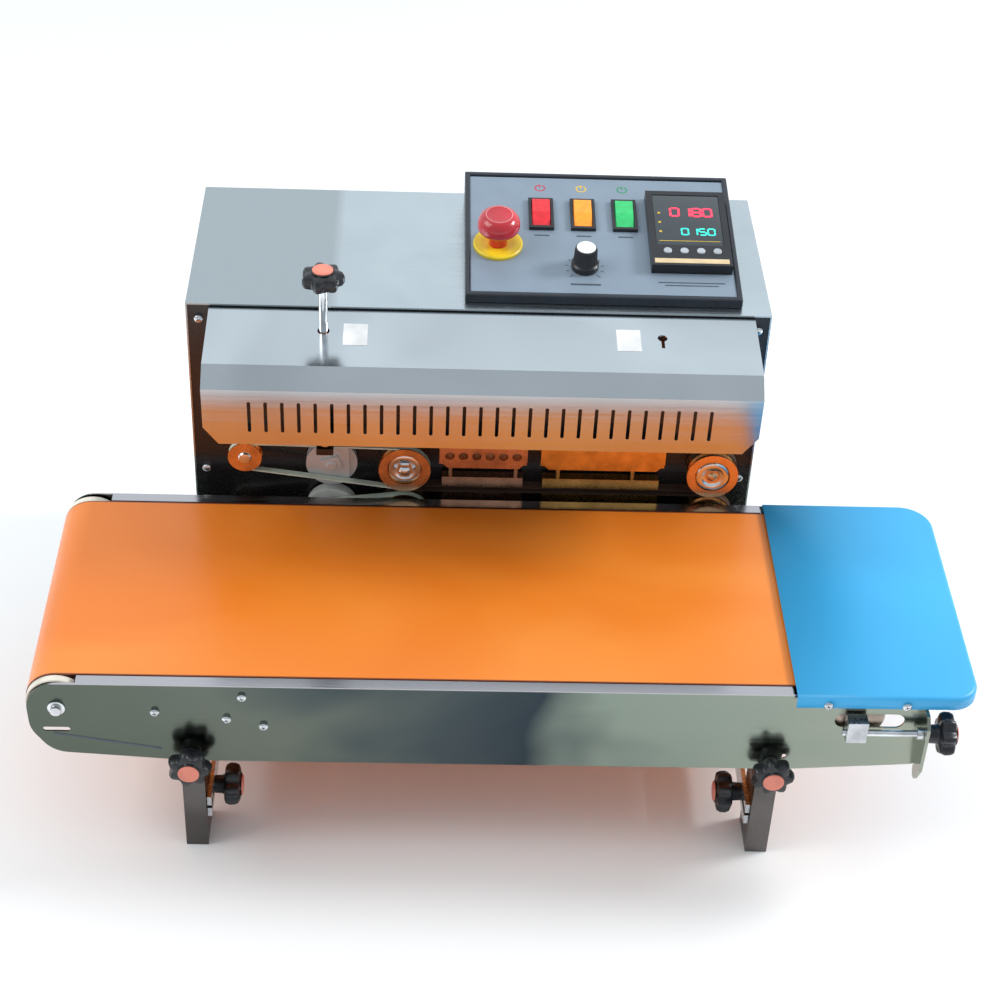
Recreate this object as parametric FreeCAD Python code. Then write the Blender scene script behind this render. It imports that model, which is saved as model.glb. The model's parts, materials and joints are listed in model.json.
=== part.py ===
import FreeCAD, Part
import math
import os
from FreeCAD import Rotation, Vector

# Continuous band sealer with a flat conveyor in front of its sealing head.
# Millimetres. +X right, +Y back, +Z up. The outline is drawn with y = 0 on the
# conveyor's front face and moved at export, so that the origin lies on the ground
# below the middle of the whole machine.
MACHINE_CENTRE = Vector(44.5, 244.0, 0.0)

# --- driving dimensions -------------------------------------------------------
SHEET = 1.5                  # folded stainless sheet
# conveyor
CONV_LEFT, CONV_RIGHT = -371.0, 418.0
CONV_WIDTH = 268.0
CONV_TOP = 200.0
CONV_HEIGHT = 90.0
FLANGE = 11.0                # top flange of each side plate
FLANGE_LEFT, FLANGE_RIGHT = -326.0, 297.0
ROLLER_Z = 172.0
DRIVE_X, TENSION_X = -344.0, 355.0
BELT_INNER_R, BELT_THICK = 26.5, 1.5
BELT_EDGE = 12.5             # belt edge to the outer face of a side plate
ROLLER_R = 26.2
AXLE_R, AXLE_BORE_R = 5.0, 5.05
TAKE_UP_Z, TAKE_UP_HALF = 171.0, 8.0     # slot that the take-up block's tongue slides in
TONGUE_CORNER = 6.0          # clears the slot's round ends
ROD_Y, ROD_Z = -9.0, 165.0   # tension rod
# infeed tray
TRAY_LEFT, TRAY_RIGHT, TRAY_FRONT, TRAY_BACK = 299.6, 461.0, -7.0, 266.0
TRAY_TOP, TRAY_SKIRT = 205.0, 13.0
# legs, rails and clamp knobs
LEG_LEFTS = (-240.0, 276.0)  # left edge of each leg's front flange
LEG_WIDTH, LEG_DEPTH, LEG_THICK = 20.0, 43.0, 2.5
CLAMP_Z, REACH_Y, REACH_Z = 118.0, 35.0, 45.0
STUD_R, KNOB_NECK = 3.0, 6.0
LIFT_DOWN, LIFT_UP, REACH_TRAVEL = 20.0, 10.0, 25.0
RAIL_THICK, RAIL_LOW, RAIL_HIGH = 4.0, 33.0, 57.0
# main body
BODY_LEFT, BODY_RIGHT, BODY_FRONT, BODY_BACK = -249.5, 289.5, 293.0, 505.0
BODY_TOP, BODY_BOTTOM = 402.0, 30.0
PLATE_FRONT, PLATE_BACK = 294.0, 302.0
BASE_TOP = 33.0
FAN_X, FAN_Z = 130.0, 210.0
FAN_RING = (474.0, 499.0)
GLAND_X, GLAND_Z = -190.0, 75.0
# sealing head
GAP_Z, GAP = 203.5, 5.0      # the slit that the bag mouth runs through
WHEEL_XS = (-47.0, 249.0)
BAND_R, BAND_THICK = 24.4, 0.6
BAND_FRONT, BAND_BACK = 280.5, 291.5
STRAP_FRONT, STRAP_BACK = 273.5, 279.5
STRAP_R, STRAP_THICK = 23.0, 1.6
WHEEL_FRONT, WHEEL_BACK = 272.0, 292.0
SHAFT_R, BUSH_R = 6.0, 11.0
PRINT_X, PRINT_R = -117.0, 24.5
GUIDE_X, GUIDE_RISE, GUIDE_R = -199.0, 39.5, 14.0
GEAR_FRONT, GEAR_BACK, MODULE = 306.0, 314.0, 1.25
GEAR_TEETH, IDLER_TEETH = 44, 12
# each pair of blocks: its two ends along X and where its pins stand
BLOCKS = {"cooling_blocks": (-14.0, 70.0, (-3.0, 60.0)), "heating_blocks": (83.0, 202.0, (101.0, 173.0))}
# control panel
PANEL_LEFT, PANEL_WIDTH = 6.0, 257.0
PANEL_FRONT, PANEL_DEPTH, PANEL_LIP, PANEL_RISE = 305.0, 184.0, 9.0, 25.0
FACE_TOP, FACE_BOTTOM = -1.5, -3.5       # below the box's rim
# places on the panel: u to the right, v up the slope
ESTOP, ESTOP_COLLAR_R, ESTOP_CAP = (31.0, 74.0), 23.5, (22.0, 34.0)
ROCKERS = {"power_switch": 73.0, "heater_switch": 113.0, "fan_switch": 153.0}
ROCKER_V, ROCKER_HALF_U, ROCKER_HALF_V, ROCKER_TILT = 121.0, 8.5, 18.0, 10.0
BEZEL_HALF_U, BEZEL_HALF_V = 12.0, 23.0
SPEED, SPEED_HEIGHT = (112.0, 44.0), 23.0
CONTROLLER, CONTROLLER_TOP = (174.0, 250.0, 38.0, 150.0), 9.0
KEY_US, KEY_V, KEY_R = (190.0, 205.7, 221.4, 237.0), 59.0, 4.0
# slotted guard
GUARD_LEFT, GUARD_RIGHT = -228.0, 274.0
GUARD_LINE = ((293.5, 399.0), (213.0, 390.5), (195.0, 375.0), (198.2, 313.5), (207.0, 313.5))
SLOT_COUNT, SLOT_PITCH, SLOT_FIRST_X = 29, 14.8, -186.0
STEM_X, STEM_Y, STEM_R = -122.0, 262.0, 4.0

# --- values that follow ---------------------------------------------------------
WHEEL_OUT = BAND_R + BAND_THICK
UPPER_Z = GAP_Z + GAP / 2 + WHEEL_OUT
LOWER_Z = GAP_Z - GAP / 2 - WHEEL_OUT
GUIDE_ZS = (GAP_Z + GUIDE_RISE, GAP_Z - GUIDE_RISE)
IDLER_X = (WHEEL_XS[0] + PRINT_X) / 2
PLATE_BOTTOM = CONV_TOP - CONV_HEIGHT
TILT = math.degrees(math.atan2(PANEL_RISE, PANEL_DEPTH))
PANEL_LENGTH = math.hypot(PANEL_DEPTH, PANEL_RISE)
PANEL_TOP = BODY_TOP + PANEL_LIP
LEG_XS = tuple(left + LEG_WIDTH / 2 for left in LEG_LEFTS)
X, Y, Z = Vector(1, 0, 0), Vector(0, 1, 0), Vector(0, 0, 1)


# --- helpers --------------------------------------------------------------------
def box(x0, x1, y0, y1, z0, z1):
    return Part.makeBox(x1 - x0, y1 - y0, z1 - z0, Vector(x0, y0, z0))


def rod_x(r, x0, x1, y, z):
    return Part.makeCylinder(r, x1 - x0, Vector(x0, y, z), X)


def rod_y(r, y0, y1, x, z):
    return Part.makeCylinder(r, y1 - y0, Vector(x, y0, z), Y)


def rod_z(r, z0, z1, x, y):
    return Part.makeCylinder(r, z1 - z0, Vector(x, y, z0), Z)


def fuse(first, *others):
    return first.fuse(list(others)).removeSplitter() if others else first


def slab(plane, corners, low, high):
    """Extrude an outline of (a, b) or (a, b, corner radius) points from low to high."""
    put, normal = {
        "xy": (lambda a, b: Vector(a, b, low), Z),
        "xz": (lambda a, b: Vector(a, low, b), Y),
        "yz": (lambda a, b: Vector(low, a, b), X),
    }[plane]
    points = [put(c[0], c[1]) for c in corners]
    turns = []
    for i, corner in enumerate(corners):
        here = points[i]
        radius = corner[2] if len(corner) > 2 else 0
        if not radius:
            turns.append((here, None, here))
            continue
        back = (points[i - 1] - here).normalize()
        ahead = (points[(i + 1) % len(points)] - here).normalize()
        half = back.getAngle(ahead) / 2
        middle = (back + ahead).normalize()
        run = radius / math.tan(half)
        crown = here + middle * (radius / math.sin(half) - radius)
        turns.append((here + back * run, crown, here + ahead * run))
    edges = []
    for i, (start, crown, end) in enumerate(turns):
        before = turns[i - 1][2]
        if before.distanceToPoint(start) > 1e-6:
            edges.append(Part.LineSegment(before, start).toShape())
        if crown is not None:
            edges.append(Part.Arc(start, crown, end).toShape())
    return Part.Face(Part.Wire(edges)).extrude(normal * (high - low))


def folded(line, thick, x0, x1):
    """A folded sheet: its outer line in (y, z) and its thickness on the line's left."""
    def shifted(p, q):
        length = math.hypot(q[0] - p[0], q[1] - p[1])
        ny, nz = -(q[1] - p[1]) / length, (q[0] - p[0]) / length
        return (p[0] + ny * thick, p[1] + nz * thick), (q[0] + ny * thick, q[1] + nz * thick)

    runs = [shifted(p, q) for p, q in zip(line, line[1:])]
    inner = [runs[0][0]]
    for (a, b), (c, d) in zip(runs, runs[1:]):
        cross = (b[0] - a[0]) * (d[1] - c[1]) - (b[1] - a[1]) * (d[0] - c[0])
        t = ((c[0] - a[0]) * (d[1] - c[1]) - (c[1] - a[1]) * (d[0] - c[0])) / cross
        inner.append((a[0] + t * (b[0] - a[0]), a[1] + t * (b[1] - a[1])))
    inner.append(runs[-1][1])
    return slab("yz", list(line) + inner[::-1], x0, x1)


def hull_of_two(c1, r1, c2, r2, y0, y1):
    """A prism along Y round two circles at (x, z) centres."""
    dx, dz = c2[0] - c1[0], c2[1] - c1[1]
    heading = math.atan2(dz, dx)
    spread = math.acos((r1 - r2) / math.hypot(dx, dz))

    def at(centre, radius, angle):
        return Vector(centre[0] + radius * math.cos(angle), y0, centre[1] + radius * math.sin(angle))

    a, b = at(c1, r1, heading + spread), at(c1, r1, heading - spread)
    c, d = at(c2, r2, heading - spread), at(c2, r2, heading + spread)
    edges = [Part.Arc(a, at(c1, r1, heading + math.pi), b).toShape(),
             Part.LineSegment(b, c).toShape(),
             Part.Arc(c, at(c2, r2, heading), d).toShape(),
             Part.LineSegment(d, a).toShape()]
    return Part.Face(Part.Wire(edges)).extrude(Y * (y1 - y0))


def belt_loop(c1, r1, c2, r2, thick, y0, y1):
    outer = hull_of_two(c1, r1 + thick, c2, r2 + thick, y0, y1)
    return outer.cut(hull_of_two(c1, r1, c2, r2, y0 - 1, y1 + 1))


def slot_hole(plane, a, b, half_a, half_b, low, high):
    """A slot-shaped cutter about (a, b), with fully round ends on its long side."""
    r = min(half_a, half_b) - 0.01
    corners = [(a - half_a, b - half_b, r), (a + half_a, b - half_b, r),
               (a + half_a, b + half_b, r), (a - half_a, b + half_b, r)]
    return slab(plane, corners, low, high)


def moved(shape, placement):
    placed = shape.copy()
    placed.Placement = placement.multiply(shape.Placement)
    return placed


def aimed(shape, origin, direction):
    return moved(shape, FreeCAD.Placement(origin, Rotation(Z, direction)))


def star_knob(origin, direction, stud_length, neck, lobes=6):
    """A lobed hand knob on a stud; origin is its back face, direction points to its cap."""
    grip = 5 + neck
    body = fuse(Part.makeCylinder(9, grip + 1), Part.makeCylinder(14.5, 12, Vector(0, 0, grip)),
                *[Part.makeCylinder(5, 12, Vector(15 * math.cos(a), 15 * math.sin(a), grip))
                  for a in (2 * math.pi * i / lobes for i in range(lobes))])
    cap = Part.makeCone(10, 8.5, 3, Vector(0, 0, grip + 12))
    stud = Part.makeCylinder(STUD_R, stud_length + 4, Vector(0, 0, -stud_length))
    return aimed(fuse(body, cap, stud), origin, direction)


def gear(teeth, x, z, bore, gap_up):
    """A spur gear about a Y axis; a gap or a tooth faces straight up and sideways."""
    pitch_r = MODULE * teeth / 2
    root_r, tip_r = pitch_r - 1.25 * MODULE, pitch_r + 0.9 * MODULE
    root_half, tip_half = 0.98 * MODULE / root_r, 0.36 * MODULE / tip_r
    step = 2 * math.pi / teeth
    points = []
    for i in range(teeth):
        middle = (i + (0.5 if gap_up else 0)) * step
        for angle, radius in ((-root_half, root_r), (-tip_half, tip_r),
                              (tip_half, tip_r), (root_half, root_r)):
            points.append((x + radius * math.cos(middle + angle),
                           z + radius * math.sin(middle + angle)))
    return slab("xz", points, GEAR_FRONT, GEAR_BACK).cut(rod_y(bore, GEAR_FRONT - 1, GEAR_BACK + 1, x, z))


def on_panel(shape):
    """Place a shape drawn on a level panel (x right, y up the slope, z out of the face)."""
    return moved(shape, FreeCAD.Placement(Vector(PANEL_LEFT, PANEL_FRONT, PANEL_TOP), Rotation(X, TILT)))


NODES = {}


def node(name, *solids):
    NODES[name] = list(solids)


# --- main body ------------------------------------------------------------------
def main_body():
    inner_left, inner_right = BODY_LEFT + SHEET, BODY_RIGHT - SHEET
    node("base_plate", box(inner_left, inner_right, PLATE_FRONT, BODY_BACK - 2 * SHEET,
                           BODY_BOTTOM, BASE_TOP))
    foot_spots = [(x, y) for x in (-220, 260) for y in (320, 480)]
    node("rubber_feet", *[Part.makeCone(13, 15, 30, Vector(x, y, 0)) for x, y in foot_spots])

    cover = box(BODY_LEFT, BODY_RIGHT, BODY_FRONT, BODY_BACK, BODY_BOTTOM, BODY_TOP)
    cover = cover.cut(box(inner_left, inner_right, BODY_FRONT - 1, BODY_BACK + 1,
                          BODY_BOTTOM - 1, BODY_TOP - SHEET))
    vents = [slot_hole("yz", 400 + 12 * i, 150, 2, 22, BODY_LEFT - 1, BODY_RIGHT + 1) for i in range(7)]
    node("housing_cover", cover.cut(vents))

    plate = box(inner_left, inner_right, PLATE_FRONT, PLATE_BACK, BASE_TOP, BODY_TOP - SHEET)
    shafts = [rod_y(BUSH_R, 290, 310, x, z) for x, z in shaft_spots()]
    rails = [box(x - 0.5, x + RAIL_THICK + 0.5, 290, 310, 32, RAIL_HIGH + 0.5) for x in rail_lefts()]
    bracket = box(STEM_X - 11, STEM_X + 11, STEM_Y - 9, PLATE_FRONT, 318, 330)
    bracket = bracket.cut(rod_z(STEM_R + 0.05, 310, 340, STEM_X, STEM_Y))
    arm = box(STEM_X - 8, STEM_X + 8, STEM_Y - 8, PLATE_FRONT, 261, 268)
    node("front_plate", plate.cut(shafts + rails), bracket, arm)

    bushes = []
    for x, z in shaft_spots():
        bush = fuse(rod_y(BUSH_R, 292.5, 304, x, z), rod_y(BUSH_R + 2.5, 292.6, PLATE_FRONT, x, z))
        bushes.append(bush.cut(rod_y(SHAFT_R + 0.05, 290, 310, x, z)))
    idler_pin = rod_y(3, PLATE_BACK, GEAR_BACK + 2, IDLER_X, LOWER_Z)
    node("shaft_bushes", *bushes, idler_pin)

    rear = box(inner_left, inner_right, BODY_BACK - 2 * SHEET, BODY_BACK - SHEET / 2, BASE_TOP,
               BODY_TOP - SHEET)
    louvres = [slot_hole("xz", -150, 250 + 14 * i, 45, 2.5, 490, 510) for i in range(8)]
    fan_holes = [slot_hole("xz", FAN_X, FAN_Z - 30 + 10 * i, math.sqrt(38 ** 2 - (10 * i - 30) ** 2) - 2,
                           2.5, 490, 510) for i in range(7)]
    entry = rod_y(7, 490, 510, GLAND_X, GLAND_Z)
    node("rear_panel", rear.cut(louvres + fan_holes + [entry]))
    gland = fuse(rod_y(7, 495, 515, GLAND_X, GLAND_Z), rod_y(11, 504.25, 509, GLAND_X, GLAND_Z),
                 rod_y(10, 497, 501.9, GLAND_X, GLAND_Z))
    node("cable_gland", gland.cut(rod_y(4, 490, 520, GLAND_X, GLAND_Z)))

    spots = [(x, z) for x in (-238, 278) for z in (386, 215, 120)] + [(-218, 290), (264, 290)]
    node("plate_screws", *[rod_y(4, 291.2, PLATE_FRONT, x, z) for x, z in spots])


def rail_lefts():
    left = LEG_LEFTS[0] + LEG_WIDTH + 0.5
    right = LEG_LEFTS[1] - 0.5 - RAIL_THICK
    return left, right


def shaft_spots():
    wheels = [(x, z) for x in WHEEL_XS for z in (UPPER_Z, LOWER_Z)]
    printing = [(PRINT_X, UPPER_Z), (PRINT_X, LOWER_Z)]
    return wheels + printing + [(GUIDE_X, z) for z in GUIDE_ZS]


def slotted_guard():
    sheet = folded(GUARD_LINE, SHEET, GUARD_LEFT, GUARD_RIGHT)
    cheek = [(293.5, 397.5), (213.5, 389.1), (196.5, 374.2), (198.5, 336), (214, 319), (293.5, 319)]
    cheeks = [slab("yz", cheek, x, x + SHEET) for x in (GUARD_LEFT, GUARD_RIGHT - SHEET)]
    slots = [slot_hole("xz", SLOT_FIRST_X + SLOT_PITCH * i, 345, 1.6, 17, 190, 200)
             for i in range(SLOT_COUNT)]
    corner_cuts = [slab("xz", [(x, 310), (x + s * 16, 310), (x, 332)], 190, 210)
                   for x, s in ((GUARD_LEFT, 1), (GUARD_RIGHT, -1))]
    top_holes = [rod_z(STEM_R + 1.5, 380, 410, STEM_X, STEM_Y), rod_z(4.5, 380, 410, 186, 262),
                 box(184.5, 187.5, 248, 262, 380, 410)]
    node("slotted_guard", fuse(sheet, *cheeks).cut(slots + corner_cuts + top_holes))


# --- control panel ----------------------------------------------------------------
def control_panel():
    wedge = slab("yz", [(PANEL_FRONT, BODY_TOP), (PANEL_FRONT, PANEL_TOP),
                        (PANEL_FRONT + PANEL_DEPTH, PANEL_TOP + PANEL_RISE),
                        (PANEL_FRONT + PANEL_DEPTH, BODY_TOP)], PANEL_LEFT, PANEL_LEFT + PANEL_WIDTH)
    hollow = box(PANEL_LEFT + 5, PANEL_LEFT + PANEL_WIDTH - 5, PANEL_FRONT + 5,
                 PANEL_FRONT + PANEL_DEPTH - 5, BODY_TOP - 1, BODY_TOP + 60)
    node("control_box", wedge.cut(hollow))

    face = box(5.2, PANEL_WIDTH - 5.2, 6.5, PANEL_LENGTH - 6.5, FACE_BOTTOM, FACE_TOP)
    holes = [rod_z(11, -5, 0, *ESTOP), rod_z(3.05, -5, 0, *SPEED),
             box(*[c + d for c, d in zip(CONTROLLER, (4, -4, 4, -4))], -5, 0)]
    half = ROCKER_HALF_V + 1.8
    holes += [box(u - 9.4, u + 9.4, ROCKER_V - half, ROCKER_V + half, -5, 0) for u in ROCKERS.values()]
    node("panel_face", on_panel(face.cut(holes)))

    collar = rod_z(ESTOP_COLLAR_R, FACE_TOP, 2.5, *ESTOP).cut(rod_z(11, -5, 5, *ESTOP))
    node("emergency_stop_collar", on_panel(collar))
    cap_low, cap_top = ESTOP_CAP
    cap = fuse(rod_z(20, cap_low, cap_top - 6, *ESTOP), Part.makeCone(20, 13, 6, Vector(*ESTOP, cap_top - 6)))
    node("emergency_stop_button", on_panel(fuse(cap, rod_z(9, -6, cap_low + 0.5, *ESTOP))))

    bezels = []
    for u in ROCKERS.values():
        rim = box(u - BEZEL_HALF_U, u + BEZEL_HALF_U, ROCKER_V - BEZEL_HALF_V, ROCKER_V + BEZEL_HALF_V,
                  FACE_TOP, 2)
        bezels.append(on_panel(rim.cut(box(u - 9, u + 9, ROCKER_V - half + 0.6, ROCKER_V + half - 0.6,
                                        -5, 5))))
    node("switch_bezels", *bezels)
    for name, u in ROCKERS.items():
        end = ROCKER_HALF_V
        rocker = slab("yz", [(-end, 1.2), (-end * 0.6, -8), (end * 0.6, -8), (end, 1.2), (0, 3.4)],
                      u - ROCKER_HALF_U, u + ROCKER_HALF_U)
        rocker.rotate(Vector(0, 0, 0), X, ROCKER_TILT)
        rocker.translate(Vector(0, ROCKER_V, 0.5))
        node(name, on_panel(rocker))

    knob = fuse(rod_z(13, -1, 6, *SPEED), Part.makeCone(11, 10, SPEED_HEIGHT - 5.5, Vector(*SPEED, 5.5)),
                rod_z(3, -9, 0, *SPEED))
    node("speed_knob", on_panel(knob))

    u0, u1, v0, v1 = CONTROLLER
    case = fuse(box(u0, u1, v0, v1, FACE_TOP, CONTROLLER_TOP),
                box(u0 + 4.3, u1 - 4.3, v0 + 4.3, v1 - 4.3, -9, 0))
    window = box(u0 + 6, u1 - 6, v0 + 30, v1 - 6, CONTROLLER_TOP - 1.5, CONTROLLER_TOP + 1)
    pockets = [rod_z(KEY_R + 0.4, CONTROLLER_TOP - 3, 12, u, KEY_V) for u in KEY_US]
    node("temperature_controller", on_panel(case.cut([window] + pockets)))
    for i, u in enumerate(KEY_US):
        key = rod_z(KEY_R, CONTROLLER_TOP - 2, CONTROLLER_TOP + 1.2, u, KEY_V)
        node(f"controller_key_{i + 1}", on_panel(key))


# --- sealing head -------------------------------------------------------------------
def band_wheel(x, z):
    wheel = fuse(rod_y(BAND_R - 0.3, STRAP_BACK + 0.5, WHEEL_BACK, x, z),
                 rod_y(STRAP_R - 0.3, WHEEL_FRONT + 1, STRAP_BACK + 1, x, z),
                 rod_y(BAND_R + 0.4, WHEEL_FRONT, STRAP_FRONT - 0.3, x, z))
    return wheel.cut([rod_y(17, WHEEL_FRONT - 1, 276, x, z), rod_y(SHAFT_R, 270, 295, x, z)])


def shaft_with_nut(x, z, y_end):
    nut = [(x + 8 * math.cos(a), z + 8 * math.sin(a)) for a in (math.radians(60 * i) for i in range(6))]
    dome = Part.makeSphere(6.6, Vector(x, 275.5, z)).common(box(x - 9, x + 9, 269, 271.6, z - 9, z + 9))
    return fuse(rod_y(SHAFT_R, 273, y_end, x, z), slab("xz", nut, 271.5, 276), dome)


def sealing_head():
    drive_x, idle_x = WHEEL_XS
    node("upper_drive_wheel", band_wheel(drive_x, UPPER_Z))
    node("upper_drive_shaft", shaft_with_nut(drive_x, UPPER_Z, 318))
    node("lower_drive_wheel", band_wheel(drive_x, LOWER_Z), shaft_with_nut(drive_x, LOWER_Z, 334))
    for side, z, gap_up in (("upper", UPPER_Z, True), ("lower", LOWER_Z, False)):
        node(f"{side}_drive_gear", gear(GEAR_TEETH, drive_x, z, SHAFT_R, gap_up))
        node(f"{side}_idle_wheel", band_wheel(idle_x, z), shaft_with_nut(idle_x, z, 308))

    disc = rod_y(PRINT_R, STRAP_BACK + 1, 291, PRINT_X, UPPER_Z)
    disc = disc.cut(box(PRINT_X + 17, PRINT_X + 30, 279, STRAP_BACK + 4, UPPER_Z - 30, UPPER_Z + 30))
    node("embossing_wheel", disc.cut(rod_y(SHAFT_R, 270, 300, PRINT_X, UPPER_Z)),
         rod_y(SHAFT_R, STRAP_BACK + 0.6, 318, PRINT_X, UPPER_Z),
         gear(GEAR_TEETH, PRINT_X, UPPER_Z, SHAFT_R, True))
    roller = rod_y(PRINT_R, STRAP_BACK + 1, 291, PRINT_X, LOWER_Z)
    node("rubber_roller", roller.cut(rod_y(SHAFT_R, 270, 300, PRINT_X, LOWER_Z)),
         rod_y(SHAFT_R, STRAP_BACK + 0.6, 318, PRINT_X, LOWER_Z),
         gear(GEAR_TEETH, PRINT_X, LOWER_Z, SHAFT_R, False))
    node("idler_gear", gear(IDLER_TEETH, IDLER_X, LOWER_Z, 3.05, True))

    for side, z in zip(("upper", "lower"), GUIDE_ZS):
        groove = rod_y(GUIDE_R - 0.3, STRAP_FRONT - 1, STRAP_BACK + 1, GUIDE_X, z)
        rims = [rod_y(GUIDE_R + 2, y, y + 1.2, GUIDE_X, z) for y in (STRAP_FRONT - 1.7, STRAP_BACK + 0.5)]
        node(f"{side}_guide_wheel", fuse(groove, *rims, rod_y(SHAFT_R, STRAP_BACK, 308, GUIDE_X, z)))

    node("sealing_bands", *[belt_loop((WHEEL_XS[0], z), BAND_R, (WHEEL_XS[1], z), BAND_R, BAND_THICK,
                                      BAND_FRONT, BAND_BACK) for z in (UPPER_Z, LOWER_Z)])
    node("guide_straps", *[belt_loop((GUIDE_X, gz), GUIDE_R, (WHEEL_XS[0], wz), STRAP_R, STRAP_THICK,
                                     STRAP_FRONT, STRAP_BACK)
                           for gz, wz in zip(GUIDE_ZS, (UPPER_Z, LOWER_Z))])
    press_blocks()


def mirrored_below(shape):
    """The same piece on the other side of the bag slit."""
    return shape.mirror(Vector(0, 0, GAP_Z), Z)


def press_blocks():
    """Blocks inside each band loop, and the shoes that rest on the bands at the slit."""
    shoe_low = GAP_Z + GAP / 2 + BAND_THICK + 0.3
    for name, (x0, x1, pin_xs) in BLOCKS.items():
        body = box(x0, x1, 276, PLATE_FRONT, 237, 253)
        lip = slab("xz", [(x0 + 8, 236), (x1 - 8, 236), (x1, 244), (x1, 263), (x0, 263), (x0, 244)],
                   271.5, 276.5)
        block = fuse(body, lip)
        if name == "cooling_blocks":
            block = block.cut([rod_y(4.5, 270, 280, x0 + 10 + 12.8 * i, 250) for i in range(6)])
        shoe = box(x0 + 3, x1 - 3, 281, 291, shoe_low, shoe_low + 11)
        upper = [block, shoe] + [rod_z(2.4, shoe_low + 11, 237, x, 284) for x in pin_xs]
        node(name, *upper, *[mirrored_below(piece) for piece in upper])


def drive_and_fan():
    x = WHEEL_XS[0]
    casing = fuse(box(x - 32, x + 32, 322, 372, LOWER_Z - 38, LOWER_Z + 38),
                  rod_y(29, 371, 452, x, LOWER_Z), rod_y(12, 316, 323, x, LOWER_Z),
                  box(x - 38, x + 38, 330, 366, BASE_TOP, BASE_TOP + 6),
                  box(x - 24, x + 24, 336, 360, BASE_TOP + 5, LOWER_Z - 37))
    casing = casing.cut(rod_y(SHAFT_R + 0.05, 310, 336, x, LOWER_Z))
    node("gear_motor", casing)

    y0, y1 = FAN_RING
    frame = box(FAN_X - 42, FAN_X + 42, y0, y1, FAN_Z - 42, FAN_Z + 42)
    frame = frame.cut(rod_y(38.5, y0 - 1, y1 + 1, FAN_X, FAN_Z))
    arms = [box(FAN_X - 38.7, FAN_X + 38.7, y0, y0 + 3, FAN_Z - 3, FAN_Z + 3),
            box(FAN_X - 3, FAN_X + 3, y0, y0 + 3, FAN_Z - 38.7, FAN_Z + 38.7)]
    foot = box(FAN_X - 20, FAN_X + 20, y0, y1, BASE_TOP, FAN_Z - 41.9)
    node("fan_frame", fuse(frame, *arms, rod_y(3, y0, y0 + 14, FAN_X, FAN_Z), foot))
    blades = []
    for i in range(7):
        blade = box(12, 36, -7.5, -6, -8, 8)
        blade.rotate(Vector(0, -6.75, 0), X, 35)
        blade.translate(Vector(0, y1 - 5, 0))
        blade.rotate(Vector(0, 0, 0), Y, 360 / 7 * i)
        blade.translate(Vector(FAN_X, 0, FAN_Z))
        blades.append(blade)
    hub = rod_y(14, y0 + 5, y1 - 2, FAN_X, FAN_Z).cut(rod_y(3.05, y0, y0 + 16, FAN_X, FAN_Z))
    node("fan_rotor", fuse(hub, *blades))


def pressure_knob():
    stem = rod_z(STEM_R, 270, 441, STEM_X, STEM_Y)
    collar = rod_z(8, 342, 350, STEM_X, STEM_Y)
    node("pressure_screw", fuse(stem, collar, rod_z(7, 270, 276, STEM_X, STEM_Y)))
    node("pressure_knob", star_knob(Vector(STEM_X, STEM_Y, 441), Z, 0, 0))


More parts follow.
